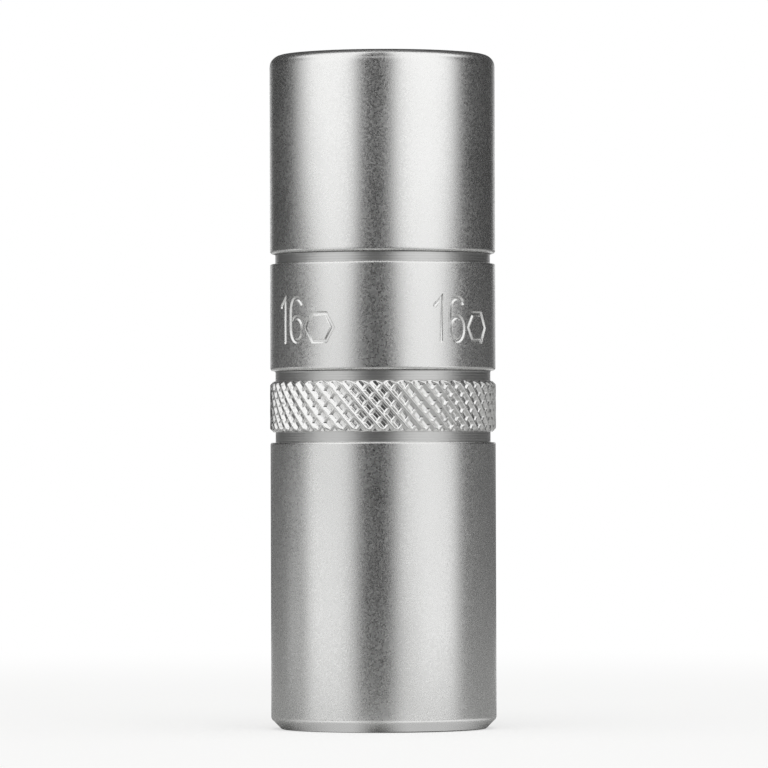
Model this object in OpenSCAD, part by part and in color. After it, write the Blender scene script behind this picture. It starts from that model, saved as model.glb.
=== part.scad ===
// Deep spark plug socket: a turned steel body with a hexagon mouth and a square drive, and the
// rubber insert inside that grips the plug's insulator.
// It stands on its drive end with the mouth up. The origin is at the middle of the drive end's face.

/* [Hexagon mouth] */
// Across-flats size of the plug hexagon
hex_af = 16; // [14:0.5:21]
// Clearance across the flats
hex_clear = 0.15; // [0.05:0.05:0.3]
// Depth of the hexagon below the mouth
hex_depth = 19; // [14:0.5:22]
// How far each corner of the hexagon is cut short
hex_corner_cut = 0.17; // [0.05:0.01:0.4]
// How far the lead-in at the mouth stands outside the hexagon's corners
mouth_margin = 0.4; // [0.1:0.05:0.5]

/* [Body] */
// Overall length
body_length = 65; // [58:1:90]
// Wall left outside the hexagon's corners
wall = 1.72; // [1.6:0.02:3]
// Radius of the rounded rim at the mouth
rim_r = 1.15; // [0.3:0.05:1.15]
// Chamfer around the drive end
foot_chamfer = 1; // [0.3:0.05:1.2]

/* [Grooves and marking band] */
// Width of each turned groove
groove_w = 1; // [0.6:0.1:1.4]
// Depth of each turned groove
groove_depth = 0.5; // [0.35:0.05:0.8]
// Edge break on the lips of the grooves
lip_break = 0.2; // [0.1:0.05:0.3]
// Height of the plain band between the two upper grooves
marking_w = 10.3; // [6:0.1:12]

/* [Knurl] */
// Height of the knurl's lower edge above the drive end
knurl_z = 28.6; // [24:0.1:32]
// Height of the knurled band
knurl_w = 4.9; // [3:0.1:8]
// Diamonds in one row around the body
knurl_count = 50; // [30:1:60]
// Rows of diamonds
knurl_rows = 6; // [4:1:9]
// How far the diamonds' points stand proud of the body
knurl_proud = 0.03; // [0:0.01:0.15]
// How far the knurl's roots stand above the groove floors
knurl_step = 0.13; // [0.05:0.01:0.2]

/* [Square drive] */
// Across-flats size of the drive square
drive_af = 12.7; // [9.5:0.1:12.7]
// Clearance across the square's flats
drive_clear = 0.15; // [0.05:0.05:0.3]
// Depth of the square
drive_depth = 16; // [12:0.5:18]
// How far each corner of the square is cut short
drive_corner_cut = 0.2; // [0.05:0.05:0.5]
// How far the countersink at the drive end stands outside the square's flats
drive_lead = 1; // [0.4:0.1:1.5]
// Height of the detent groove above the drive end
detent_z = 7.8; // [6:0.1:9]
// Section radius of the detent groove
detent_r = 2; // [1.5:0.1:2.5]
// Depth of the detent groove in the square's flats
detent_depth = 0.75; // [0.3:0.05:1]

/* [Rubber insert] */
// Ledge between the hexagon's flats and the insert's pocket
pocket_ledge = 0.27; // [0.1:0.01:0.6]
// Depth of the pocket below the hexagon
pocket_depth = 14.5; // [10:0.5:16]
// How far the insert's top lies below the hexagon
insert_drop = 0.5; // [0.2:0.1:2]
// Clearance around the insert in its pocket
insert_clear = 0.02; // [0.01:0.01:0.1]
// Bore that grips the insulator
grip_d = 10.2; // [9:0.1:10.8]
// Lead-in at each end of the grip bore
grip_lead = 1.2; // [0.5:0.1:1.5]
// Edge break around the insert's ends
insert_break = 0.5; // [0.2:0.1:0.8]
// Bore that joins the pocket to the square drive
core_bore_d = 11.5; // [11:0.1:12.5]

/* [Hidden] */
$fn = 96;
// How far a cutter runs past the face that it opens
overrun = 1;
// How far the knurl ring reaches into the body under the groove floors
knurl_root_in = 0.4;

hex_half = (hex_af + hex_clear) / 2;
hex_corner_r = hex_half / cos(30) - hex_corner_cut;
mouth_r = hex_corner_r + mouth_margin;
body_r = hex_corner_r + wall;
groove_r = body_r - groove_depth;

knurl_tip_r = body_r + knurl_proud;
knurl_root_r = groove_r + knurl_step;
knurl_top = knurl_z + knurl_w;
marking_z = knurl_top + groove_w;
marking_top = marking_z + marking_w;

drive_half = (drive_af + drive_clear) / 2;
drive_corner_r = drive_half * sqrt(2) - drive_corner_cut;
detent_ring_r = drive_half + detent_depth - detent_r;

hex_floor = body_length - hex_depth;
pocket_floor = hex_floor - pocket_depth;
pocket_r = hex_half - pocket_ledge;
insert_r = pocket_r - insert_clear;
insert_length = pocket_depth - insert_drop;
grip_r = grip_d / 2;

// Half-section of the turned blank, with its grooves and the core under the knurl
module blank_section() {
    difference() {
        polygon([
            [0, 0],
            [body_r - foot_chamfer, 0],
            [body_r, foot_chamfer],
            [body_r, knurl_z - groove_w - lip_break],
            [body_r - lip_break, knurl_z - groove_w],
            [groove_r, knurl_z - groove_w],
            [groove_r, marking_z],
            [body_r - lip_break, marking_z],
            [body_r, marking_z + lip_break],
            [body_r, marking_top - lip_break],
            [body_r - lip_break, marking_top],
            [groove_r, marking_top],
            [groove_r, marking_top + groove_w],
            [body_r - lip_break, marking_top + groove_w],
            [body_r, marking_top + groove_w + lip_break],
            [body_r, body_length],
            [0, body_length]
        ]);
        rim_corner();
    }
}

// What the rounded rim takes off the blank's upper corner
module rim_corner() {
    translate([body_r - rim_r, body_length - rim_r])
        difference() {
            square(rim_r + overrun);
            circle(rim_r);
        }
}

// Ring of raised diamonds: points and roots alternate along each row and from row to row,
// and the first and last rows lie at root level, so that the band's ends are bevelled
module knurl_ring() {
    columns = 2 * knurl_count;
    steps = knurl_rows + 1;
    function is_point(row, col) = row > 0 && row < steps && (row + col) % 2 == 1;
    function on_ring(r, col, z) = [r * cos(col * 360 / columns), r * sin(col * 360 / columns), z];
    function at(row, col) = row * columns + col % columns;
    inner_r = groove_r - knurl_root_in;
    inner_low = steps + 1;
    inner_high = steps + 2;
    outer_points = [
        for (row = [0 : steps], col = [0 : columns - 1])
            on_ring(is_point(row, col) ? knurl_tip_r : knurl_root_r, col, knurl_z + knurl_w * row / steps)
    ];
    inner_points = [
        for (z = [knurl_z, knurl_top], col = [0 : columns - 1])
            on_ring(inner_r, col, z)
    ];
    flanks = [
        for (row = [0 : steps - 1], col = [0 : columns - 1], upper = [0, 1])
            (row + col) % 2 == 0
                ? (upper == 0
                    ? [at(row, col), at(row + 1, col + 1), at(row, col + 1)]
                    : [at(row, col), at(row + 1, col), at(row + 1, col + 1)])
                : (upper == 0
                    ? [at(row, col), at(row + 1, col), at(row, col + 1)]
                    : [at(row, col + 1), at(row + 1, col), at(row + 1, col + 1)])
    ];
    lower_end = [
        for (col = [0 : columns - 1])
            [at(0, col), at(0, col + 1), at(inner_low, col + 1), at(inner_low, col)]
    ];
    upper_end = [
        for (col = [0 : columns - 1])
            [at(steps, col), at(inner_high, col), at(inner_high, col + 1), at(steps, col + 1)]
    ];
    inside = [
        for (col = [0 : columns - 1])
            [at(inner_low, col), at(inner_low, col + 1), at(inner_high, col + 1), at(inner_high, col)]
    ];
    polyhedron(concat(outer_points, inner_points), concat(flanks, lower_end, upper_end, inside));
}

// Hexagon with shortened corners, and its lead-in at the mouth
module hexagon_cut() {
    lead_end_r = hex_half - overrun;
    translate([0, 0, hex_floor])
        intersection() {
            cylinder(r = hex_half / cos(30), h = hex_depth + overrun, $fn = 6);
            cylinder(r = hex_corner_r, h = hex_depth + overrun);
        }
    translate([0, 0, body_length - mouth_r + lead_end_r])
        cylinder(r1 = lead_end_r, r2 = mouth_r + overrun, h = mouth_r - lead_end_r + overrun);
}

// Square with shortened corners, its countersink and the detent groove in its flats
module drive_cut() {
    lead_end_r = drive_half - overrun;
    lead_r = drive_half + drive_lead;
    translate([0, 0, -overrun])
        intersection() {
            translate([-drive_half, -drive_half, 0])
                cube([2 * drive_half, 2 * drive_half, drive_depth + overrun]);
            cylinder(r = drive_corner_r, h = drive_depth + overrun);
        }
    translate([0, 0, -overrun])
        cylinder(r1 = lead_r + overrun, r2 = lead_end_r, h = lead_r - lead_end_r + overrun);
    translate([0, 0, detent_z])
        rotate_extrude()
            translate([detent_ring_r, 0])
                circle(detent_r);
}

// Pocket of the insert, and the bore below it down to the square
module inner_bores() {
    translate([0, 0, pocket_floor])
        cylinder(r = pocket_r, h = pocket_depth + overrun);
    translate([0, 0, drive_depth - overrun])
        cylinder(r = core_bore_d / 2, h = pocket_floor - drive_depth + 2 * overrun);
}

module socket_body() {
    color([0.76, 0.77, 0.78])
        difference() {
            union() {
                rotate_extrude()
                    blank_section();
                knurl_ring();
            }
            hexagon_cut();
            drive_cut();
            inner_bores();
        }
}

module rubber_insert() {
    half_section = [
        [grip_r + grip_lead, 0],
        [insert_r - insert_break, 0],
        [insert_r, insert_break],
        [insert_r, insert_length - insert_break],
        [insert_r - insert_break, insert_length],
        [grip_r + grip_lead, insert_length],
        [grip_r, insert_length - grip_lead],
        [grip_r, grip_lead]
    ];
    color([0.09, 0.09, 0.1])
        translate([0, 0, pocket_floor])
            rotate_extrude()
                polygon(half_section);
}

socket_body();
rubber_insert();
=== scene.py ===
import math

import bmesh
import bpy
import numpy as np
from bpy.props import FloatProperty, FloatVectorProperty, IntProperty, PointerProperty
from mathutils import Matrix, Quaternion, Vector


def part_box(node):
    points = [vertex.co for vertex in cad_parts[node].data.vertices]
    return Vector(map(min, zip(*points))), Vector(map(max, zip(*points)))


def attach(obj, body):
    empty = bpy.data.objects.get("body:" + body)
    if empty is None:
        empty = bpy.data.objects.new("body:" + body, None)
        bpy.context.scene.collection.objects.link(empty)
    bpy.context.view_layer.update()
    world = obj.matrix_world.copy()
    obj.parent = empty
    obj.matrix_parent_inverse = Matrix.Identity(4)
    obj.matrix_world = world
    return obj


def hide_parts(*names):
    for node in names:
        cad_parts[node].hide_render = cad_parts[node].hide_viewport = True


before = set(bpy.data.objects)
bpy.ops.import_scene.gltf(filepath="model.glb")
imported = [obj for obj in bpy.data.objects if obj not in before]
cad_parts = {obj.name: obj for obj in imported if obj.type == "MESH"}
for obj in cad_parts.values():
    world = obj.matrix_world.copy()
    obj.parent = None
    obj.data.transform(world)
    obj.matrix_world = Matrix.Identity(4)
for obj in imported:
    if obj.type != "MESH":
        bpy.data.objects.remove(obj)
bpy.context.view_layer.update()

bl_info = {
    "name": "Spark Plug Socket",
    "version": (1, 0, 0),
    "blender": (4, 5, 0),
    "location": "View3D > Sidebar > Socket",
    "description": "Builds a satin chrome spark plug socket and its studio around the packed part",
    "category": "Object",
}

MM = 0.001
BODY_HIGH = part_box("socket_body")[1]
INSERT_LOW, INSERT_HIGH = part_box("rubber_insert")
KNURL_PROUD = 0.03 * MM
BODY_R = BODY_HIGH.x - KNURL_PROUD

# Mesh columns around the body and around the insert, and sides of the round floor
COLUMNS = 360
INSERT_COLUMNS = 120
FLOOR_SIDES = 96
# How far from a corner the extra points lie that keep shading flat up to it
HOLD = 0.06 * MM
# Points nearer than this become one, and what is thinner than a sliver goes
MERGE = 0.0005 * MM
SLIVER = 0.0002 * MM
# Places of a Mix node's colour sockets, whose names its other kinds share
COLOUR_A, COLOUR_B, COLOUR_MIXED = 6, 7, 2
# Kind of the node that does one step of a formula
MATH = "ShaderNodeMath"


def linear(hex_colour):
    """An sRGB hex value as a linear colour."""
    parts = [int(hex_colour[i:i + 2], 16) / 255 for i in (1, 3, 5)]
    return tuple(c / 12.92 if c <= 0.04045 else ((c + 0.055) / 1.055) ** 2.4 for c in parts)


def length(name, default, description):
    """A length property in metres, with its default given in millimetres."""
    return FloatProperty(
        name=name, description=description, default=default * MM, unit="LENGTH", precision=5)


def angle(name, default, description):
    """An angle property, with its default given in degrees."""
    return FloatProperty(
        name=name, description=description, default=math.radians(default), unit="ROTATION")


def colour(name, hex_colour, description):
    """A colour property, with its default given as an sRGB hex value."""
    return FloatVectorProperty(
        name=name, description=description, default=linear(hex_colour), subtype="COLOR", size=3)


class SocketBodySizes(bpy.types.PropertyGroup):
    """Sizes of the turned body and of the hollows in it"""

    outer_r: length("Outside radius", BODY_R / MM, "Radius of the plain body")
    height: length("Length", BODY_HIGH.z / MM, "From the drive end to the mouth")
    rim_r: length("Rim radius", 1.15, "Rounding of the rim at the mouth")
    foot_chamfer: length("Foot chamfer", 1.0, "Chamfer around the drive end")
    foot_edge_r: length("Foot edge radius", 0.15, "Rounding between the end face and the foot's chamfer")
    foot_blend_r: length("Foot blend radius", 0.5, "Rounding between the foot's chamfer and the wall")
    groove_w: length("Groove width", 1.0, "Width of each turned groove")
    groove_depth: length("Groove depth", 0.5, "Depth of each turned groove")
    upper_lip_r: length("Upper lip radius", 0.3, "Rounding of the lips above the grooves")
    lower_lip_r: length("Lower lip radius", 0.16, "Rounding of the lips below the grooves")
    floor_r: length("Upper corner radius", 0.14, "Rounding of the groove floors' upper corners")
    low_corner_r: length("Lower corner radius", 0.04, "Rounding of the groove floors' lower corners")
    marking_w: length("Marking band", 10.3, "Height of the plain band between the upper grooves")
    hex_half: length("Hexagon half", 8.075, "Half the distance across the hexagon's flats")
    hex_corner_r: length("Hexagon corner", 9.154, "Radius at which the hexagon's corners are cut short")
    hex_depth: length("Hexagon depth", 19.0, "Depth of the hexagon below the mouth")
    mouth_r: length("Mouth radius", 9.554, "Radius of the lead-in at the mouth's face")
    pocket_r: length("Pocket radius", 7.805, "Radius of the pocket that holds the insert")
    bore_r: length("Bore radius", 5.75, "Radius of the bore between the pocket and the square")
    drive_half: length("Square half", 6.425, "Half the distance across the drive square's flats")
    drive_corner_r: length("Square corner", 8.886, "Radius at which the square's corners are cut short")
    drive_depth: length("Square depth", 16.0, "Depth of the drive square")
    drive_lead: length("Square lead-in", 1.0, "How far the countersink stands outside the flats")
    detent_z: length("Detent height", 7.8, "Height of the detent groove above the drive end")
    detent_r: length("Detent radius", 2.0, "Section radius of the detent groove")
    detent_depth: length("Detent depth", 0.75, "Depth of the detent groove in the flats")


class KnurlSizes(bpy.types.PropertyGroup):
    """Sizes of the knurled band"""

    low_z: length("Lower edge", 28.6, "Height of the band's lower edge above the drive end")
    height: length("Height", 4.9, "Height of the band")
    diamonds: IntProperty(name="Diamonds", description="Diamonds in one row around the body", default=50)
    pitch: length("Axial pitch", 1.53, "Height of one diamond")
    depth: length("Depth", 0.3, "Depth of the pits between the ridges")
    bridge_drop: length("Bridge drop", 0.16, "How far the bridges lie below the ridges")
    ridge_share: FloatProperty(
        name="Ridge share", description="Share of each pitch that a ridge's two flanks take up", default=0.6)
    crest: length("Crest", 0.04, "How much of each crest is missing, so that it is flat")
    rounding: length("Rounding", 0.06, "Rounding of the crests and corners by the plating")
    end_bevel: length("End bevel", 0.34, "Bevel at the band's two ends")
    root_in: length("Root", 0.2, "How far the band reaches into the body below the groove floors")
    samples: IntProperty(name="Samples", description="Mesh columns across one diamond", default=20)


class MarkSizes(bpy.types.PropertyGroup):
    """Sizes of the stamped size mark"""

    digit_h: length("Digit height", 4.1, "Height of the digits")
    hexagon_r: length("Hexagon radius", 1.5, "Radius of the plain hexagon after the digits")
    stroke_r: length("Stroke radius", 0.27, "Radius of the round-bottomed strokes")
    depth: length("Depth", 0.16, "Depth of the strokes below the surface")
    digit_gap: length("Digit spacing", 1.85, "From the middle of one digit to the next, along the surface")
    hexagon_gap: length("Hexagon spacing", 2.9, "From the middle of the last digit to the hexagon's")
    mid_z: length("Mid height", 39.3, "Height of the signs' middle above the drive end")
    first: angle("First", 31.0, "Turn of the first mark from the front, to the right")
    repeats: IntProperty(name="Repeats", description="Marks around the band", default=4)


class InsertSizes(bpy.types.PropertyGroup):
    """Sizes of the rubber insert"""

    outer_r: length("Outside radius", INSERT_HIGH.x / MM, "Radius of the sleeve")
    grip_r: length("Grip radius", 5.1, "Radius of the bore that grips the insulator")
    grip_lead: length("Lead-in", 1.2, "Lead-in at each end of the bore")
    edge_break: length("Edge break", 0.5, "Break around the sleeve's ends")
    soft_r: length("Soft edge", 0.25, "Rounding of every edge")


class FinishColours(bpy.types.PropertyGroup):
    """Colours of the finishes"""

    chrome: colour("Chrome plate", "#F9F9F8", "Satin chrome on the outside")
    # The groove corner colour is painted shade, under the grooves' upper lips and in the knurl's valleys
    corner: colour("Groove corner", "#5C5C5B", "Dull plate in the corners of grooves and knurl")
    groove: colour("Groove plate", "#DADAD9", "Duller chrome on the turned groove floors")
    inside: colour("Plated forging", "#DCDBD8", "Thin, duller plate inside the hollows")
    rubber: colour("Rubber", "#19191A", "Moulded black rubber")
    board: colour("Board", "#AEAEAD", "Matt studio board under the socket")
    front_card: colour("Front card", "#303030", "Cards in front that draw the dark middle line")
    side_card: colour("Side card", "#3D3D3D", "Cards beside and behind that draw the dark edges")
    low_back_card: colour("Low back card", "#656565", "Low card behind that lifts the lower edges")
    low_left_card: colour("Low left card", "#DADADA", "Low card in front that dims the left band")
    low_right_card: colour("Low right card", "#E9E9E9", "Low card in front that dims the right band")
    floor_card: colour("Floor card", "#F0F0F0", "Cards on the floor that brighten the lower wall")
    foot_card: colour("Foot card", "#BEBEBE", "Cards around the foot that lighten its chamfer")


class StageSizes(bpy.types.PropertyGroup):
    """Camera and studio"""

    camera_back: length("Camera distance", 588.0, "From the socket's axis to the camera")
    camera_z: length("Camera height", 25.5, "Height of the camera above the floor")
    aim_x: length("Aim across", 0.1, "Where the camera aims, to the right of the axis")
    aim_z: length("Aim height", 33.25, "Height at which the camera aims on the axis")
    roll: angle("Roll", -0.17, "Roll of the camera about its line of sight")
    lens: FloatProperty(name="Lens", description="Focal length in millimetres", default=285.3, unit="CAMERA")
    floor_r: length("Floor radius", 320.0, "Radius of the pale floor")
    shadow_r: length("Shadow radius", 60.0, "Radius within which the floor shows the shadow in full")
    white_r: length("White radius", 256.0, "Radius beyond which the floor is plain white")
    fill: FloatProperty(name="Fill", description="Strength of the world on matt surfaces", default=0.45)
    lamp_back: length("Lamp distance", 120.0, "How far in front of the axis the lamp hangs")
    lamp_z: length("Lamp height", 600.0, "Height of the lamp above the floor")
    lamp_aim_z: length("Lamp aim", 30.0, "Height at which the lamp aims on the axis")
    lamp_size: length("Lamp size", 600.0, "Width of the square lamp")
    lamp_watts: FloatProperty(name="Lamp power", description="Power of the lamp", default=2.0, unit="POWER")


def add_node(tree, kind, inputs=None, **settings):
    """Adds a node, gives it its settings, and sets each input or links it to a node or socket."""
    node = tree.nodes.new(kind)
    for name, value in settings.items():
        setattr(node, name, value)
    for key, value in (inputs or {}).items():
        source = value.outputs[0] if isinstance(value, bpy.types.Node) else value
        if isinstance(source, bpy.types.NodeSocket):
            tree.links.new(source, node.inputs[key])
        else:
            node.inputs[key].default_value = source
    return node


def new_material(name):
    """An empty node material, and its tree."""
    material = bpy.data.materials.new(name)
    material.use_nodes = True
    material.node_tree.nodes.clear()
    return material, material.node_tree


def per_metre(size_mm):
    """Scale of a texture whose features are that many millimetres across."""
    return 1 / (size_mm * MM)


def opaque(tone, share=1.0):
    """A colour for a node's socket, at that share of its brightness."""
    return (*(c * share for c in tone), 1)


def satin_chrome_plate(colours):
    """Bright chrome over bead-blasted steel: a soft mirror in which each tiny dimple spreads light anew."""
    material, tree = new_material("satin_chrome_plate")
    place = add_node(tree, "ShaderNodeTexCoord")
    # Dimples of about 0.05 mm would be lost in the picture, so they are drawn at 0.14 mm
    dimples = add_node(tree, "ShaderNodeTexVoronoi", {
        "Vector": place.outputs["Object"], "Scale": per_metre(0.14)})
    hollows = add_node(tree, "ShaderNodeBump", {
        "Height": dimples.outputs["Distance"], "Strength": 1.0, "Distance": 0.002 * MM})
    # The blast is never quite even, so the gloss drifts slowly over a few millimetres
    drift = add_node(tree, "ShaderNodeTexNoise", {
        "Vector": place.outputs["Object"], "Scale": per_metre(6.0), "Detail": 2.0})
    level = add_node(tree, "ShaderNodeMapRange", {
        "Value": drift.outputs["Fac"], "From Min": 0.3, "From Max": 0.7, "To Min": 0.19, "To Max": 0.23})
    gloss = add_node(tree, MATH, {
        0: dimples.outputs["Color"], 1: 0.17, 2: level}, operation="MULTIPLY_ADD")
    tone = add_node(tree, "ShaderNodeMix", {
        "Factor": dimples.outputs["Color"],
        COLOUR_A: opaque(colours.chrome, 0.96), COLOUR_B: opaque(colours.chrome)}, data_type="RGBA")
    surface = add_node(tree, "ShaderNodeBsdfPrincipled", {
        "Base Color": tone.outputs[COLOUR_MIXED], "Metallic": 1.0, "Roughness": gloss, "Normal": hollows})
    add_node(tree, "ShaderNodeOutputMaterial", {"Surface": surface})
    return material


def knurled_chrome_plate(colours):
    """Chrome on the knurl: bright flanks, and valleys darkened with painted shade, broken up in patches by
    noise.
    """
    material, tree = new_material("knurled_chrome_plate")
    place = add_node(tree, "ShaderNodeTexCoord")
    valley = add_node(tree, "ShaderNodeAttribute", attribute_name="valley")
    mottle = add_node(tree, "ShaderNodeTexNoise", {
        "Vector": place.outputs["Object"], "Scale": per_metre(0.3), "Detail": 2.0})
    # Painted shade: the deeper the valley, the darker and duller the plate, in patches set by the noise
    painted_valley_shade = add_node(tree, MATH, {
        0: valley.outputs["Fac"], 1: mottle.outputs["Fac"]}, operation="MULTIPLY")
    shade = add_node(tree, "ShaderNodeMapRange", {
        "Value": painted_valley_shade, "From Min": 0.45, "From Max": 0.95}, interpolation_type="SMOOTHSTEP")
    tone = add_node(tree, "ShaderNodeMix", {
        "Factor": shade,
        COLOUR_A: opaque(colours.chrome), COLOUR_B: opaque(colours.corner)}, data_type="RGBA")
    gloss = add_node(tree, "ShaderNodeMapRange", {"Value": shade, "To Min": 0.22, "To Max": 0.45})
    grain = add_node(tree, "ShaderNodeBump", {
        "Height": mottle.outputs["Fac"], "Strength": 1.0, "Distance": 0.02 * MM})
    surface = add_node(tree, "ShaderNodeBsdfPrincipled", {
        "Base Color": tone.outputs[COLOUR_MIXED], "Metallic": 1.0, "Roughness": gloss, "Normal": grain})
    add_node(tree, "ShaderNodeOutputMaterial", {"Surface": surface})
    return material


def dull_groove_corner(colours):
    """Painted shade under the grooves' upper lips: a dark, dull plate colour that draws a thin dark line
    below each lip.
    """
    material, tree = new_material("dull_groove_corner")
    place = add_node(tree, "ShaderNodeTexCoord")
    blotches = add_node(tree, "ShaderNodeTexNoise", {
        "Vector": place.outputs["Object"], "Scale": per_metre(0.6), "Detail": 3.0})
    # Painted shade, lightened in blotches by noise
    tone = add_node(tree, "ShaderNodeMix", {
        "Factor": blotches.outputs["Fac"],
        COLOUR_A: opaque(colours.corner), COLOUR_B: opaque(colours.corner, 1.8)}, data_type="RGBA")
    surface = add_node(tree, "ShaderNodeBsdfPrincipled", {
        "Base Color": tone.outputs[COLOUR_MIXED], "Metallic": 1.0, "Roughness": 0.45})
    add_node(tree, "ShaderNodeOutputMaterial", {"Surface": surface})
    return material


def turned_chrome_plate(colours):
    """Chrome over a turned groove: fine rings left by the tool stretch the light up and down."""
    material, tree = new_material("turned_chrome_plate")
    place = add_node(tree, "ShaderNodeTexCoord")
    # Tool marks of about 0.05 mm would be lost in the picture, so they are drawn at 0.25 mm;
    # a wave texture has 20 / (2 pi) waves in each unit of its scale
    rings = add_node(tree, "ShaderNodeTexWave", {
        "Vector": place.outputs["Object"], "Scale": per_metre(0.25) * math.pi / 10,
        "Distortion": 0.8, "Detail": 2.0},
        wave_type="BANDS", bands_direction="Z")
    pits = add_node(tree, "ShaderNodeTexNoise", {
        "Vector": place.outputs["Object"], "Scale": per_metre(0.2), "Detail": 2.0})
    turned = add_node(tree, "ShaderNodeBump", {
        "Height": rings.outputs["Fac"], "Strength": 1.0, "Distance": 0.006 * MM})
    grain = add_node(tree, "ShaderNodeBump", {
        "Height": pits.outputs["Fac"], "Strength": 1.0, "Distance": 0.006 * MM, "Normal": turned})
    surface = add_node(tree, "ShaderNodeBsdfPrincipled", {
        "Base Color": opaque(colours.groove), "Metallic": 1.0, "Roughness": 0.34, "Normal": grain})
    add_node(tree, "ShaderNodeOutputMaterial", {"Surface": surface})
    return material


def plated_forging(colours):
    """Thin plate inside the forged hollows: greyer and rougher than outside, faintly streaked along them."""
    material, tree = new_material("plated_forging")
    place = add_node(tree, "ShaderNodeTexCoord")
    stretched = add_node(tree, "ShaderNodeMapping", {
        "Vector": place.outputs["Object"], "Scale": (1.0, 1.0, 0.12)})
    streaks = add_node(tree, "ShaderNodeTexNoise", {
        "Vector": stretched, "Scale": per_metre(0.4), "Detail": 3.0})
    tone = add_node(tree, "ShaderNodeMix", {
        "Factor": streaks.outputs["Fac"],
        COLOUR_A: opaque(colours.inside, 0.8), COLOUR_B: opaque(colours.inside)}, data_type="RGBA")
    gloss = add_node(tree, "ShaderNodeMapRange", {
        "Value": streaks.outputs["Fac"], "From Min": 0.3, "From Max": 0.7, "To Min": 0.34, "To Max": 0.46})
    grain = add_node(tree, "ShaderNodeBump", {
        "Height": streaks.outputs["Fac"], "Strength": 1.0, "Distance": 0.015 * MM})
    surface = add_node(tree, "ShaderNodeBsdfPrincipled", {
        "Base Color": tone.outputs[COLOUR_MIXED], "Metallic": 1.0, "Roughness": gloss, "Normal": grain})
    add_node(tree, "ShaderNodeOutputMaterial", {"Surface": surface})
    return material


def moulded_rubber(colours):
    """Black nitrile rubber from a sand-blasted mould: near black and matt, greyed in patches by its bloom."""
    material, tree = new_material("moulded_rubber")
    place = add_node(tree, "ShaderNodeTexCoord")
    bloom = add_node(tree, "ShaderNodeTexNoise", {
        "Vector": place.outputs["Object"], "Scale": per_metre(2.5), "Detail": 3.0})
    skin = add_node(tree, "ShaderNodeTexNoise", {
        "Vector": place.outputs["Object"], "Scale": per_metre(0.25), "Detail": 2.0})
    tone = add_node(tree, "ShaderNodeMix", {
        "Factor": bloom.outputs["Fac"],
        COLOUR_A: opaque(colours.rubber), COLOUR_B: opaque(colours.rubber, 2.2)}, data_type="RGBA")
    gloss = add_node(tree, "ShaderNodeMapRange", {
        "Value": bloom.outputs["Fac"], "From Min": 0.3, "From Max": 0.7, "To Min": 0.5, "To Max": 0.68})
    grain = add_node(tree, "ShaderNodeBump", {
        "Height": skin.outputs["Fac"], "Strength": 1.0, "Distance": 0.02 * MM})
    surface = add_node(tree, "ShaderNodeBsdfPrincipled", {
        "Base Color": tone.outputs[COLOUR_MIXED], "Roughness": gloss, "IOR": 1.52, "Normal": grain})
    add_node(tree, "ShaderNodeOutputMaterial", {"Surface": surface})
    return material


def pale_floor(colours, stage):
    """Matt board: white to the camera with the socket's soft shadow on it, and plain grey to other rays."""
    material, tree = new_material("pale_floor")
    place = add_node(tree, "ShaderNodeTexCoord")
    path = add_node(tree, "ShaderNodeLightPath")
    away = add_node(tree, "ShaderNodeVectorMath", {0: place.outputs["Object"]}, operation="LENGTH")
    far = add_node(tree, "ShaderNodeMapRange", {
        "Value": away.outputs["Value"], "From Min": stage.shadow_r, "From Max": stage.white_r},
        interpolation_type="SMOOTHSTEP")
    tone = add_node(tree, "ShaderNodeMix", {
        "Factor": far, COLOUR_A: opaque(colours.board), COLOUR_B: (0, 0, 0, 1)}, data_type="RGBA")
    matt = add_node(tree, "ShaderNodeBsdfDiffuse", {"Color": tone.outputs[COLOUR_MIXED]})
    glow = add_node(tree, "ShaderNodeMapRange", {
        "Value": far, "To Min": 1 - colours.board[0], "To Max": 1.0})
    white = add_node(tree, "ShaderNodeEmission", {"Color": (1, 1, 1, 1), "Strength": glow})
    shown = add_node(tree, "ShaderNodeAddShader", {0: matt, 1: white})
    plain = add_node(tree, "ShaderNodeBsdfPrincipled", {
        "Base Color": opaque(colours.board), "Roughness": 0.6})
    surface = add_node(tree, "ShaderNodeMixShader", {
        0: path.outputs["Is Camera Ray"], 1: plain, 2: shown})
    add_node(tree, "ShaderNodeOutputMaterial", {"Surface": surface})
    return material


def studio_card(name, tone):
    """Matt card with soft edges: even in tone, and thinning out where its cover falls."""
    material, tree = new_material(name)
    cover = add_node(tree, "ShaderNodeAttribute", attribute_name="cover")
    even = add_node(tree, "ShaderNodeEmission", {"Color": opaque(tone), "Strength": 1.0})
    clear = add_node(tree, "ShaderNodeBsdfTransparent")
    surface = add_node(tree, "ShaderNodeMixShader", {0: cover.outputs["Fac"], 1: clear, 2: even})
    add_node(tree, "ShaderNodeOutputMaterial", {"Surface": surface})
    return material


def new_object(name, mesh):
    """An object in the scene at the origin that shows that mesh."""
    made = bpy.data.objects.new(name, mesh)
    bpy.context.scene.collection.objects.link(made)
    return made


def rounded(corners, segments=6):
    """Profile corners (radius, height, fillet) as points, with an arc at each fillet."""
    points = []
    for i, (r, z, fillet) in enumerate(corners):
        corner = Vector((r, z))
        if not fillet:
            points.append(corner)
            continue
        before = (Vector(corners[i - 1][:2]) - corner).normalized()
        after = (Vector(corners[i + 1][:2]) - corner).normalized()
        half = before.angle(after) / 2
        centre = corner + (before + after).normalized() * fillet / math.sin(half)
        start = corner + before * fillet / math.tan(half) - centre
        sweep = start.angle_signed(corner + after * fillet / math.tan(half) - centre)
        for step in range(segments + 1):
            turn = -sweep * step / segments
            cosine = math.cos(turn)
            sine = math.sin(turn)
            across = cosine * start.x - sine * start.y
            up = sine * start.x + cosine * start.y
            points.append(centre + Vector((across, up)))
    return points


def held(points, hold, longest):
    """Adds points near both ends of each long straight stretch, and along it, to keep its shading flat."""
    out = [points[0]]
    for a, b in zip(points, points[1:]):
        run = (b - a).length
        if run > 4 * hold:
            inner = max(1, math.ceil((run - 2 * hold) / longest))
            out += [a.lerp(b, (hold + (run - 2 * hold) * i / inner) / run) for i in range(inner + 1)]
        out.append(b)
    return out


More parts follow.
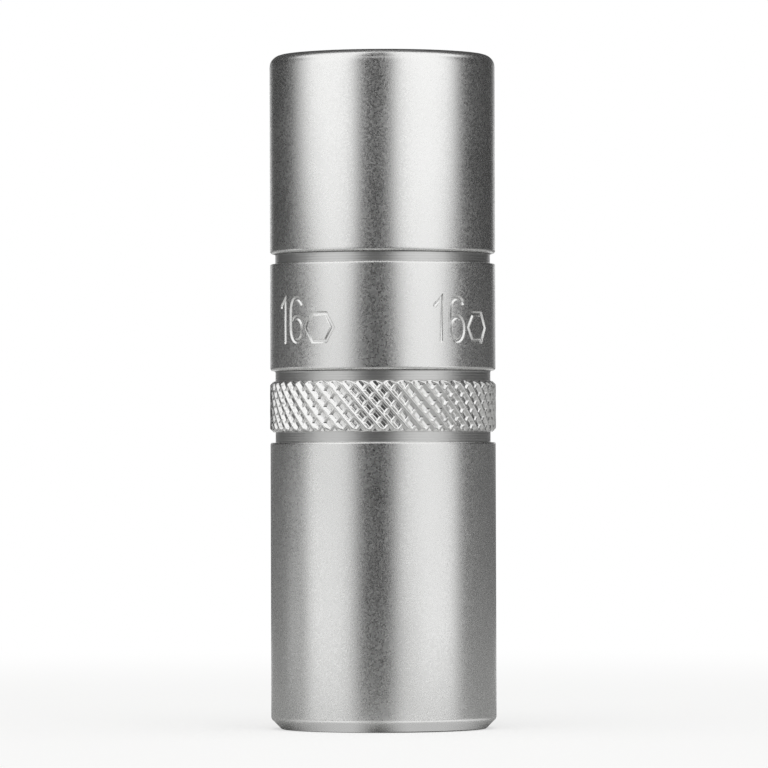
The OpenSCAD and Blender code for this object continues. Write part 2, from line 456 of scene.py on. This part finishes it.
def polygon_r(around, sides, half, corner_r, turn):
    """Radius of a regular polygon with shortened corners, at each angle around it."""
    step = 2 * math.pi / sides
    from_flat = (around - turn + step / 2) % step - step / 2
    return np.minimum(half / np.cos(from_flat), corner_r)


def loft(name, rings, columns):
    """Closed surface through rings of (radius, height), each of them one value or one for each column."""
    around = np.arange(columns) * 2 * math.pi / columns
    points = []
    for r, z in rings:
        r = np.broadcast_to(r, columns)
        z = np.broadcast_to(z, columns)
        points.append(np.stack([r * np.cos(around), r * np.sin(around), z], axis=1))
    col = np.arange(columns)
    following = (col + 1) % columns
    faces = []
    for ring in range(len(rings)):
        low = ring * columns
        high = (ring + 1) % len(rings) * columns
        faces.append(np.stack([low + col, low + following, high + following, high + col], axis=1))
    mesh = bpy.data.meshes.new(name)
    mesh.from_pydata(np.concatenate(points).tolist(), [], np.concatenate(faces).tolist())
    return mesh


def finish_mesh(mesh, sharp_degrees):
    """Merges what meets, drops faces without area, and shades smooth up to that angle."""
    work = bmesh.new()
    work.from_mesh(mesh)
    bmesh.ops.remove_doubles(work, verts=work.verts, dist=MERGE)
    bmesh.ops.dissolve_degenerate(work, dist=SLIVER, edges=work.edges)
    work.to_mesh(mesh)
    work.free()
    mesh.shade_smooth()
    mesh.set_sharp_from_angle(angle=math.radians(sharp_degrees))


def plain_mesh(obj):
    """The object's evaluated shape as a mesh of its own, with the modifiers gone."""
    graph = bpy.context.evaluated_depsgraph_get()
    mesh = bpy.data.meshes.new_from_object(obj.evaluated_get(graph))
    obj.modifiers.clear()
    obj.data = mesh
    return mesh


def outer_profile(body, knurl):
    """Outside of the body from the drive end's face to the mouth's, with its grooves."""
    # Flat left on each end face between the hollow's edge and the first or last ring of the outside
    foot_flat = 0.3 * MM
    mouth_flat = 0.1 * MM
    groove = body.outer_r - body.groove_depth
    low_groove = knurl.low_z - body.groove_w
    marking = knurl.low_z + knurl.height + body.groove_w
    upper = marking + body.marking_w
    corners = [
        (body.drive_corner_r + foot_flat, 0, 0),
        (body.outer_r - body.foot_chamfer, 0, body.foot_edge_r),
        (body.outer_r, body.foot_chamfer, body.foot_blend_r),
        (body.outer_r, low_groove, body.lower_lip_r),
        (groove, low_groove, body.low_corner_r),
        (groove, marking, body.floor_r),
        (body.outer_r, marking, body.upper_lip_r),
        (body.outer_r, upper, body.lower_lip_r),
        (groove, upper, body.low_corner_r),
        (groove, upper + body.groove_w, body.floor_r),
        (body.outer_r, upper + body.groove_w, body.upper_lip_r),
        (body.outer_r, body.height, body.rim_r),
        (body.mouth_r + mouth_flat, body.height, 0),
    ]
    return held(rounded(corners, segments=8), HOLD, longest=1.2 * MM)


def inner_rings(body, around):
    """Rings of the hollows from the mouth down to the drive end: hexagon, pocket, bore and square."""
    # How far the edges at the end faces, in the mouth, at the ledge and at the shoulder are broken
    face_break = 0.03 * MM
    edge_break = 0.05 * MM
    ledge_break = 0.1 * MM
    shoulder_break = 0.25 * MM
    detent_steps = 16
    hexagon = polygon_r(around, 6, body.hex_half, body.hex_corner_r, math.radians(30))
    square = polygon_r(around, 4, body.drive_half, body.drive_corner_r, 0.0)
    hex_floor = body.height - body.hex_depth
    shoulder = INSERT_LOW.z
    lead_r = body.drive_half + body.drive_lead
    hex_edge = body.height - (body.mouth_r - hexagon)
    ring_r = body.drive_half + body.detent_depth - body.detent_r
    rings = [
        (body.mouth_r + face_break, body.height - face_break / 3),
        (body.mouth_r - edge_break, body.height - HOLD),
        (hexagon + edge_break, hex_edge + edge_break),
        (hexagon, hex_edge - HOLD),
        (hexagon, hex_floor + 2 * HOLD),
        (hexagon, hex_floor),
        (body.pocket_r + ledge_break, hex_floor),
        (body.pocket_r, hex_floor - ledge_break),
        (body.pocket_r, shoulder + HOLD),
        (body.pocket_r, shoulder),
        (body.bore_r + shoulder_break, shoulder),
        (body.bore_r, shoulder - shoulder_break),
        (body.bore_r, body.drive_depth + HOLD),
        (body.bore_r, body.drive_depth),
        (square, body.drive_depth),
        (square, body.drive_depth - HOLD),
    ]
    for step in range(detent_steps + 1):
        rise = body.detent_r * math.cos(math.pi * step / detent_steps)
        reach = ring_r + math.sqrt(max(body.detent_r ** 2 - rise ** 2, 0))
        rings.append((np.maximum(square, reach), body.detent_z + rise))
    foot_z = np.maximum(lead_r - square, 0)
    rings += [
        (square, foot_z + edge_break),
        (square + face_break, np.maximum(foot_z - face_break, face_break)),
        (np.maximum(square, lead_r) + face_break, 0),
    ]
    return rings


def arc(centre, radii, start, end, steps=20):
    """Points along part of an ellipse, with its angles in degrees."""
    turns = [math.radians(start + (end - start) * i / steps) for i in range(steps + 1)]
    return [
        Vector((centre[0] + radii[0] * math.cos(t), centre[1] + radii[1] * math.sin(t)))
        for t in turns
    ]


def sign_strokes(mark):
    """Flat strokes, each (points, closed), of the plug size's digits and then of a plain hexagon."""
    # The digits' bowls, serif and stems are shares of their height
    h = mark.digit_h
    bowl = (0.21 * h, 0.28 * h)
    rise = 0.5 * h - bowl[1]
    one = [Vector((-0.17 * h, 0.32 * h)), Vector((0, 0.5 * h)), Vector((0, -0.5 * h))]
    hook = arc((0, rise), bowl, 35, 180) + [Vector((-bowl[0], -rise))]
    loop = arc((0, -rise), bowl, 180, 540)[:-1]
    hexagon = arc((0, 0), (mark.hexagon_r, mark.hexagon_r), 0, 360, steps=6)[:-1]
    drop = -0.5 * h + mark.hexagon_r * math.cos(math.pi / 6)
    hexagon = [p + Vector((0, drop)) for p in hexagon]
    return [[(one, False)], [(hook, False), (loop, True)], [(hexagon, True)]]


def stroke_tube(work, points, closed, mark, wrap):
    """Adds a round tube along a flat stroke, wrapped onto the body, with round ends where it is open."""
    sides = 10
    cap_turns = (30, 60, 85)
    mitre_limit = 0.5
    count = len(points)
    lift = mark.stroke_r - mark.depth
    rings = []
    for i, p in enumerate(points):
        back = (p - points[i - 1]).normalized() if closed or i else None
        ahead = (points[(i + 1) % count] - p).normalized() if closed or i < count - 1 else None
        along = ((back or ahead) + (ahead or back)).normalized()
        side = Vector((-along.y, along.x)) / max(along.dot(ahead or back), mitre_limit)
        caps = [(0.0, 1.0)]
        if not closed and i in (0, count - 1):
            outward = -1 if i == 0 else 1
            turns = [math.radians(a) for a in cap_turns]
            tips = [(outward * math.sin(t), math.cos(t)) for t in turns]
            caps = [*reversed(tips), *caps] if i == 0 else [*caps, *tips]
        for shift, scale in caps:
            ring = []
            for j in range(sides):
                turn = 2 * math.pi * j / sides
                flat = p + along * shift * mark.stroke_r + side * math.cos(turn) * scale * mark.stroke_r
                ring.append(work.verts.new(wrap(flat, lift + math.sin(turn) * scale * mark.stroke_r)))
            rings.append(ring)
    pairs = list(zip(rings, rings[1:] + rings[:1])) if closed else list(zip(rings, rings[1:]))
    for a, b in pairs:
        for j in range(sides):
            following = (j + 1) % sides
            work.faces.new((a[j], a[following], b[following], b[j]))
    if not closed:
        work.faces.new(rings[0][::-1])
        work.faces.new(rings[-1])


def stamp_cutter(mark, outer_r):
    """What the stamps press out of the marking band: the same mark, repeated around it."""
    work = bmesh.new()
    for repeat in range(mark.repeats):
        start = mark.first - math.pi / 2 + repeat * 2 * math.pi / mark.repeats
        places = (0, mark.digit_gap, mark.digit_gap + mark.hexagon_gap)
        for place, strokes in zip(places, sign_strokes(mark)):
            def wrap(flat, lift, middle=start + place / outer_r):
                turn = middle + flat.x / outer_r
                r = outer_r + lift
                return (r * math.cos(turn), r * math.sin(turn), mark.mid_z + flat.y)
            for points, closed in strokes:
                stroke_tube(work, points, closed, mark, wrap)
    bmesh.ops.recalc_face_normals(work, faces=work.faces)
    mesh = bpy.data.meshes.new("stamp_cutter")
    work.to_mesh(mesh)
    work.free()
    return new_object("stamp_cutter", mesh)


BODY_FINISHES = (satin_chrome_plate, turned_chrome_plate, plated_forging, dull_groove_corner)
SATIN, TURNED, FORGED, CORNER = range(4)


def finish_at(face, inside, body):
    """Place in BODY_FINISHES of the finish that a face of the body takes."""
    # How much of a groove's upper corner is groove, and how far a face under a lip looks down
    corner_share = 0.8
    downward = -0.3
    if inside:
        return FORGED
    groove_limit = body.outer_r - body.groove_depth + corner_share * body.floor_r
    in_groove = Vector(face.center[:2]).length < groove_limit
    if not in_groove or face.center.z <= body.foot_chamfer:
        return SATIN
    # Faces under a groove's upper lip take the painted shade finish
    return CORNER if face.normal.z < downward else TURNED


class SOCKET_OT_body(bpy.types.Operator):
    """Builds the turned and plated socket body with its hollows and stamped size marks"""

    bl_idname = "socket.body"
    bl_label = "Build socket body"

    def execute(self, context):
        body = context.scene.socket_body
        outer = [(p.x, p.y) for p in outer_profile(body, context.scene.socket_knurl)]
        around = np.arange(COLUMNS) * 2 * math.pi / COLUMNS
        inner = inner_rings(body, around)
        mesh = loft("socket_shell", outer + inner, COLUMNS)
        colours = context.scene.socket_finish
        for finish in BODY_FINISHES:
            mesh.materials.append(finish(colours))
        # The last span is the drive end's flat face, which is finished as the outside is
        hollow = range(len(outer) - 1, len(outer) + len(inner) - 1)
        for face in mesh.polygons:
            face.material_index = finish_at(face, face.index // COLUMNS in hollow, body)
        shell = new_object("socket_shell", mesh)
        finish_mesh(mesh, sharp_degrees=35)
        cutter = stamp_cutter(context.scene.socket_mark, body.outer_r)
        stamp = shell.modifiers.new("stamp", "BOOLEAN")
        stamp.object = cutter
        stamp.operation = "DIFFERENCE"
        stamp.solver = "EXACT"
        stamp.use_self = True
        mesh = plain_mesh(shell)
        bpy.data.objects.remove(cutter)
        finish_mesh(mesh, sharp_degrees=35)
        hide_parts("socket_body")
        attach(shell, "root")
        return {"FINISHED"}


KNURL_INPUTS = {
    "NodeSocketInt": ("Columns", "Rows", "Diamonds"),
    "NodeSocketFloat": (
        "Tip radius", "Inner radius", "Lower edge", "Height", "Axial pitch", "Depth", "Bridge drop",
        "Ridge share", "Crest", "Rounding", "End bevel"),
    "NodeSocketMaterial": ("Finish",),
}


def knurl_tree():
    """A sheet rolled into a closed ring, with slanting ridges on its outer face and bridges between them."""
    tree = bpy.data.node_groups.new("knurl_band", "GeometryNodeTree")
    for kind, names in KNURL_INPUTS.items():
        for name in names:
            tree.interface.new_socket(name=name, in_out="INPUT", socket_type=kind)
    tree.interface.new_socket(name="Geometry", in_out="OUTPUT", socket_type="NodeSocketGeometry")
    size = add_node(tree, "NodeGroupInput").outputs

    # The sheet's rows: inner low edge, the knurled face, inner high edge, inner low edge again;
    # a half lies between two rows
    across = add_node(tree, MATH, {0: size["Columns"], 1: 1.0}, operation="ADD")
    spans = add_node(tree, MATH, {0: size["Rows"], 1: 3.0}, operation="ADD")
    up = add_node(tree, MATH, {0: size["Rows"], 1: 4.0}, operation="ADD")
    sheet = add_node(tree, "GeometryNodeMeshGrid", {
        "Size X": 1.0, "Size Y": 1.0, "Vertices X": across, "Vertices Y": up})
    flat = add_node(tree, "ShaderNodeSeparateXYZ", {0: add_node(tree, "GeometryNodeInputPosition")})
    turn = add_node(tree, MATH, {0: flat.outputs["X"], 1: 0.5}, operation="ADD")
    share = add_node(tree, MATH, {0: flat.outputs["Y"], 1: 0.5}, operation="ADD")
    row_at = add_node(tree, MATH, {0: share, 1: spans}, operation="MULTIPLY")
    row = add_node(tree, MATH, {0: row_at}, operation="ROUND")

    last = add_node(tree, MATH, {0: size["Rows"], 1: 2.5}, operation="ADD")
    wraps = add_node(tree, MATH, {0: row, 1: last}, operation="GREATER_THAN")
    face_end = add_node(tree, MATH, {0: size["Rows"], 1: 1.5}, operation="ADD")
    above = add_node(tree, MATH, {0: row, 1: face_end}, operation="GREATER_THAN")
    below = add_node(tree, MATH, {0: row, 1: 0.5}, operation="LESS_THAN")
    hidden = add_node(tree, MATH, {0: above, 1: below}, operation="MAXIMUM")

    from_first = add_node(tree, MATH, {0: row, 1: 1.0}, operation="SUBTRACT")
    risen = add_node(tree, MATH, {0: from_first, 1: size["Rows"]}, operation="DIVIDE", use_clamp=True)
    unwrapped = add_node(tree, MATH, {0: 1.0, 1: wraps}, operation="SUBTRACT")
    level = add_node(tree, MATH, {0: risen, 1: unwrapped}, operation="MULTIPLY")
    rise = add_node(tree, MATH, {0: level, 1: size["Height"]}, operation="MULTIPLY")
    height = add_node(tree, MATH, {0: rise, 1: size["Lower edge"]}, operation="ADD")

    # Ridges fall to the right and lower bridges rise to the right, with flat-bottomed pits between them
    around = add_node(tree, MATH, {0: turn, 1: size["Diamonds"]}, operation="MULTIPLY")
    along = add_node(tree, MATH, {0: rise, 1: size["Axial pitch"]}, operation="DIVIDE")
    falling = add_node(tree, MATH, {0: around, 1: along}, operation="ADD")
    rising = add_node(tree, MATH, {0: around, 1: along}, operation="SUBTRACT")
    slope = add_node(tree, MATH, {0: size["Depth"], 1: size["Ridge share"]}, operation="DIVIDE")
    bridge_top = add_node(tree, MATH, {0: size["Crest"], 1: size["Bridge drop"]}, operation="SUBTRACT")
    families = []
    for phase, top in ((falling, size["Crest"]), (rising, bridge_top)):
        saw = add_node(tree, MATH, {0: phase, 1: 0.5}, operation="PINGPONG")
        from_crest = add_node(tree, MATH, {0: saw, 1: 2.0, 2: -1.0}, operation="MULTIPLY_ADD")
        families.append(add_node(tree, MATH, {0: from_crest, 1: slope, 2: top}, operation="MULTIPLY_ADD"))
    joined = add_node(
        tree, MATH, {0: families[0], 1: families[1], 2: size["Rounding"]}, operation="SMOOTH_MAX")
    pit_floor = add_node(tree, MATH, {0: 0.0, 1: size["Depth"]}, operation="SUBTRACT")
    crossed = add_node(tree, MATH, {0: joined, 1: pit_floor, 2: size["Rounding"]}, operation="SMOOTH_MAX")

    # The ends fall away at 45 degrees
    to_top = add_node(tree, MATH, {0: size["Height"], 1: rise}, operation="SUBTRACT")
    to_end = add_node(tree, MATH, {0: rise, 1: to_top}, operation="MINIMUM")
    bevel = add_node(tree, MATH, {0: to_end, 1: size["End bevel"]}, operation="SUBTRACT")
    bevelled = add_node(tree, MATH, {0: crossed, 1: bevel, 2: size["Rounding"]}, operation="SMOOTH_MIN")
    relief = add_node(tree, MATH, {0: bevelled, 1: 0.0, 2: size["Rounding"]}, operation="SMOOTH_MIN")
    knurled = add_node(tree, MATH, {0: size["Tip radius"], 1: relief}, operation="ADD")
    radius = add_node(tree, "ShaderNodeMix", {"Factor": hidden, "A": knurled, "B": size["Inner radius"]})

    full_turn = add_node(tree, MATH, {0: turn, 1: 2 * math.pi}, operation="MULTIPLY")
    cosine = add_node(tree, MATH, {0: full_turn}, operation="COSINE")
    sine = add_node(tree, MATH, {0: full_turn}, operation="SINE")
    x = add_node(tree, MATH, {0: radius, 1: cosine}, operation="MULTIPLY")
    y = add_node(tree, MATH, {0: radius, 1: sine}, operation="MULTIPLY")
    place = add_node(tree, "ShaderNodeCombineXYZ", {"X": x, "Y": y, "Z": height})
    rolled = add_node(tree, "GeometryNodeSetPosition", {"Geometry": sheet, "Position": place})
    sunk = add_node(tree, MATH, {0: 0.0, 1: relief}, operation="SUBTRACT")
    valley = add_node(tree, MATH, {0: sunk, 1: size["Depth"]}, operation="DIVIDE", use_clamp=True)
    noted = add_node(
        tree, "GeometryNodeStoreNamedAttribute", {"Geometry": rolled, "Name": "valley", "Value": valley})
    split = add_node(tree, "GeometryNodeTriangulate", {"Mesh": noted}, quad_method="FIXED_ALTERNATE")
    closed = add_node(tree, "GeometryNodeMergeByDistance", {"Geometry": split, "Distance": SLIVER})
    smooth = add_node(tree, "GeometryNodeSetShadeSmooth", {"Geometry": closed})
    real = add_node(tree, "GeometryNodeRealizeInstances", {"Geometry": smooth})
    dressed = add_node(tree, "GeometryNodeSetMaterial", {"Geometry": real, "Material": size["Finish"]})
    add_node(tree, "NodeGroupOutput", {0: dressed})
    return tree


class SOCKET_OT_knurl(bpy.types.Operator):
    """Builds the knurled grip band as a closed ring on the body"""

    bl_idname = "socket.knurl"
    bl_label = "Build knurled band"

    def execute(self, context):
        knurl = context.scene.socket_knurl
        body = context.scene.socket_body
        tree = knurl_tree()
        band = new_object("knurl_band", bpy.data.meshes.new("knurl_band"))
        values = {
            "Columns": knurl.diamonds * knurl.samples,
            "Rows": round(knurl.height / knurl.pitch * knurl.samples),
            "Diamonds": knurl.diamonds,
            "Tip radius": BODY_HIGH.x,
            "Inner radius": body.outer_r - body.groove_depth - knurl.root_in,
            "Lower edge": knurl.low_z,
            "Height": knurl.height,
            "Axial pitch": knurl.pitch,
            "Depth": knurl.depth,
            "Bridge drop": knurl.bridge_drop,
            "Ridge share": knurl.ridge_share,
            "Crest": knurl.crest,
            "Rounding": knurl.rounding,
            "End bevel": knurl.end_bevel,
            "Finish": knurled_chrome_plate(context.scene.socket_finish),
        }
        modifier = band.modifiers.new("knurl", "NODES")
        modifier.node_group = tree
        for item in tree.interface.items_tree:
            if item.in_out == "INPUT":
                modifier[item.identifier] = values[item.name]
        plain_mesh(band)
        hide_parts("socket_body")
        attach(band, "root")
        return {"FINISHED"}


class SOCKET_OT_insert(bpy.types.Operator):
    """Builds the rubber insert that grips the plug"""

    bl_idname = "socket.insert"
    bl_label = "Build rubber insert"

    def execute(self, context):
        insert = context.scene.socket_insert
        low = INSERT_LOW.z
        high = INSERT_HIGH.z
        soft = insert.soft_r
        corners = [
            (insert.grip_r, (low + high) / 2, 0),
            (insert.grip_r, low + insert.grip_lead, soft),
            (insert.grip_r + insert.grip_lead, low, soft),
            (insert.outer_r - insert.edge_break, low, soft),
            (insert.outer_r, low + insert.edge_break, soft),
            (insert.outer_r, high - insert.edge_break, soft),
            (insert.outer_r - insert.edge_break, high, soft),
            (insert.grip_r + insert.grip_lead, high, soft),
            (insert.grip_r, high - insert.grip_lead, soft),
            (insert.grip_r, (low + high) / 2 + HOLD, 0),
        ]
        profile = held(rounded(corners), HOLD, longest=3 * MM)
        mesh = loft("insert_sleeve", [(p.x, p.y) for p in profile], INSERT_COLUMNS)
        mesh.materials.append(moulded_rubber(context.scene.socket_finish))
        finish_mesh(mesh, sharp_degrees=50)
        sleeve = new_object("insert_sleeve", mesh)
        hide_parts("rubber_insert")
        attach(sleeve, "root")
        return {"FINISHED"}


# Cards around the socket, in millimetres and degrees: name, tone, distance of the lower and upper edge,
# turn of the left and right edge (from the front to the right), height of the lower and upper edge,
# and the shares over which the left, right, lower and upper edges thin out
CARDS = (
    ("card_front", "front_card", (68, 220), (-34, 21), (10, 210), (0.34, 0.36, 0.04, 0.3)),
    ("card_front_low", "front_card", (60, 74), (-34, 21), (0, 22), (0.34, 0.36, 0, 0.5)),
    ("card_front_mid", "front_card", (64, 80), (-38, 26), (24, 48), (0.34, 0.36, 0.3, 0.5)),
    ("card_rim", "front_card", (25, 6), (-29, 17), (73, 150), (0.35, 0.35, 0.04, 0.1)),
    ("card_left", "side_card", (400, 400), (-160, -72), (-60, 380), (0.07, 0.43, 0, 0.25)),
    ("card_right", "side_card", (400, 400), (66, 160), (-60, 420), (0.3, 0.07, 0, 0.25)),
    ("card_back", "side_card", (400, 400), (112, 248), (60, 2000), (0.09, 0.09, 0.02, 0.1)),
    ("card_low_back", "low_back_card", (395, 395), (75, 285), (-60, 62), (0.1, 0.1, 0, 0.35)),
    ("card_low_left", "low_left_card", (100, 100), (-86, -10), (0, 60), (0.42, 0.06, 0.45, 0.35)),
    ("card_low_right", "low_right_card", (100, 100), (-5, 84), (0, 60), (0.05, 0.3, 0.45, 0.35)),
    ("card_mid_left", "side_card", (98, 98), (-104, -52), (24, 60), (0.2, 0.6, 0.5, 0.5)),
    ("card_mid_right", "side_card", (98, 98), (50, 104), (24, 60), (0.6, 0.2, 0.5, 0.5)),
    ("card_foot_left", "foot_card", (9.8, 11.6), (-70, -2), (0.05, 0.05), (0.7, 0.26, 0, 0.3)),
    ("card_foot_right", "foot_card", (9.8, 11.6), (-4, 84), (0.1, 0.1), (0.21, 0.62, 0, 0.3)),
    ("card_foot_back", "foot_card", (9.9, 18), (110, 250), (0.05, 0.05), (0.3, 0.3, 0, 0.5)),
    ("card_ring_left", "floor_card", (10.9, 15.5), (-80, 1), (0.15, 0.15), (0.7, 0.3, 0.25, 0.3)),
    ("card_ring_right", "floor_card", (10.9, 15.5), (-9, 100), (0.2, 0.2), (0.22, 0.6, 0.25, 0.3)),
    ("card_floor_front_left", "floor_card", (22, 300), (-84, -28), (0.1, 0.1), (0.3, 0.3, 0.3, 0.15)),
    ("card_floor_front_right", "floor_card", (22, 300), (24, 84), (0.1, 0.1), (0.3, 0.3, 0.3, 0.15)),
    ("card_floor_back", "floor_card", (22, 300), (152, 208), (0.1, 0.1), (0.3, 0.3, 0.3, 0.15)),
    ("card_floor_left", "floor_card", (100, 300), (244, 272), (0.1, 0.1), (0.3, 0.3, 0.15, 0.15)),
)


def edge_cover(share, low, high):
    """How much a card covers at that share of its width: soft within low of its start and high of its end."""
    cover = 1.0
    for inside, soft in ((share, low), (1 - share, high)):
        if soft:
            t = min(max(inside / soft, 0), 1)
            cover *= t * t * (3 - 2 * t)
    return cover


def reflected_card(name, material, distance, across, up, soft):
    """Curved card round the socket that only reflections see."""
    columns, rows = 60, 24
    points, faces, cover = [], [], []
    for j in range(rows + 1):
        away = (distance[0] + (distance[1] - distance[0]) * j / rows) * MM
        height = (up[0] + (up[1] - up[0]) * j / rows) * MM
        for i in range(columns + 1):
            turn = math.radians(across[0] + (across[1] - across[0]) * i / columns)
            points.append((away * math.sin(turn), -away * math.cos(turn), height))
            cover.append(edge_cover(i / columns, *soft[:2]) * edge_cover(j / rows, *soft[2:]))
    for j in range(rows):
        for i in range(columns):
            corner = j * (columns + 1) + i
            faces.append((corner, corner + 1, corner + columns + 2, corner + columns + 1))
    mesh = bpy.data.meshes.new(name)
    mesh.from_pydata(points, [], faces)
    mesh.attributes.new("cover", "FLOAT", "POINT").data.foreach_set("value", cover)
    mesh.materials.append(material)
    made = new_object(name, mesh)
    made.visible_camera = False
    made.visible_diffuse = False
    made.visible_shadow = False


def white_world(fill):
    """White background to the camera and in reflections, and a plain level of light on matt surfaces."""
    world = bpy.data.worlds.new("studio")
    world.use_nodes = True
    tree = world.node_tree
    tree.nodes.clear()
    path = add_node(tree, "ShaderNodeLightPath")
    seen = add_node(tree, MATH, {
        0: path.outputs["Is Camera Ray"], 1: path.outputs["Is Glossy Ray"]}, operation="MAXIMUM")
    shown = add_node(tree, MATH, {
        0: seen, 1: path.outputs["Is Transmission Ray"]}, operation="MAXIMUM")
    strength = add_node(tree, "ShaderNodeMapRange", {"Value": shown, "To Min": fill, "To Max": 1.0})
    light = add_node(tree, "ShaderNodeBackground", {"Color": (1, 1, 1, 1), "Strength": strength})
    add_node(tree, "ShaderNodeOutputWorld", {"Surface": light})
    bpy.context.scene.world = world


def soft_lamp(name, place, aim, width, watts):
    """Square soft lamp at that place, turned to its aim."""
    data = bpy.data.lights.new(name, "AREA")
    data.size = width
    data.energy = watts
    lamp = bpy.data.objects.new(name, data)
    bpy.context.scene.collection.objects.link(lamp)
    lamp.location = place
    lamp.rotation_euler = (Vector(aim) - Vector(place)).to_track_quat("-Z", "Y").to_euler()
    lamp.visible_glossy = False


class SOCKET_OT_stage(bpy.types.Operator):
    """Sets up the camera, the pale floor, the cards and the lamp"""

    bl_idname = "socket.stage"
    bl_label = "Set up studio"

    def execute(self, context):
        scene = context.scene
        stage = scene.socket_stage
        colours = scene.socket_finish
        data = bpy.data.cameras.new("camera")
        data.lens = stage.lens
        data.sensor_width = 36.0
        camera = bpy.data.objects.new("camera", data)
        scene.collection.objects.link(camera)
        place = Vector((0, -stage.camera_back, stage.camera_z))
        sight = Vector((stage.aim_x, 0, stage.aim_z)) - place
        camera.location = place
        camera.rotation_mode = "QUATERNION"
        camera.rotation_quaternion = sight.to_track_quat("-Z", "Y") @ Quaternion((0, 0, 1), stage.roll)
        scene.camera = camera

        edge = [(stage.floor_r * math.cos(t), stage.floor_r * math.sin(t), 0)
                for t in np.linspace(0, 2 * math.pi, FLOOR_SIDES, endpoint=False)]
        mesh = bpy.data.meshes.new("floor")
        mesh.from_pydata(edge, [], [tuple(range(len(edge)))])
        mesh.materials.append(pale_floor(colours, stage))
        new_object("floor", mesh)

        for name, tone, distance, across, up, soft in CARDS:
            reflected_card(name, studio_card(name, getattr(colours, tone)), distance, across, up, soft)
        white_world(stage.fill)
        lamp_place = (0, -stage.lamp_back, stage.lamp_z)
        soft_lamp("top_lamp", lamp_place, (0, 0, stage.lamp_aim_z), stage.lamp_size, stage.lamp_watts)
        scene.view_settings.view_transform = "Standard"
        return {"FINISHED"}


class SOCKET_PT_builder(bpy.types.Panel):
    """Lists the sizes and the steps of the socket"""

    bl_idname = "SOCKET_PT_builder"
    bl_label = "Spark plug socket"
    bl_space_type = "VIEW_3D"
    bl_region_type = "UI"
    bl_category = "Socket"

    def draw(self, context):
        for operator in OPERATORS:
            self.layout.operator(operator.bl_idname)
        for name, group in GROUPS.items():
            box = self.layout.box()
            settings = getattr(context.scene, name)
            for field in group.__annotations__:
                box.prop(settings, field)


GROUPS = {
    "socket_body": SocketBodySizes,
    "socket_knurl": KnurlSizes,
    "socket_mark": MarkSizes,
    "socket_insert": InsertSizes,
    "socket_finish": FinishColours,
    "socket_stage": StageSizes,
}
OPERATORS = (SOCKET_OT_body, SOCKET_OT_knurl, SOCKET_OT_insert, SOCKET_OT_stage)


def register():
    """Adds the classes, and the groups to the scene."""
    for made in (*GROUPS.values(), *OPERATORS, SOCKET_PT_builder):
        bpy.utils.register_class(made)
    for name, group in GROUPS.items():
        setattr(bpy.types.Scene, name, PointerProperty(type=group))


def unregister():
    """Takes the groups and the classes away again."""
    for name in GROUPS:
        delattr(bpy.types.Scene, name)
    for made in (SOCKET_PT_builder, *reversed(OPERATORS), *reversed(GROUPS.values())):
        bpy.utils.unregister_class(made)


def main():
    """Builds every piece and the stage."""
    register()
    bpy.ops.socket.body()
    bpy.ops.socket.knurl()
    bpy.ops.socket.insert()
    bpy.ops.socket.stage()


if __name__ == "__main__":
    main()
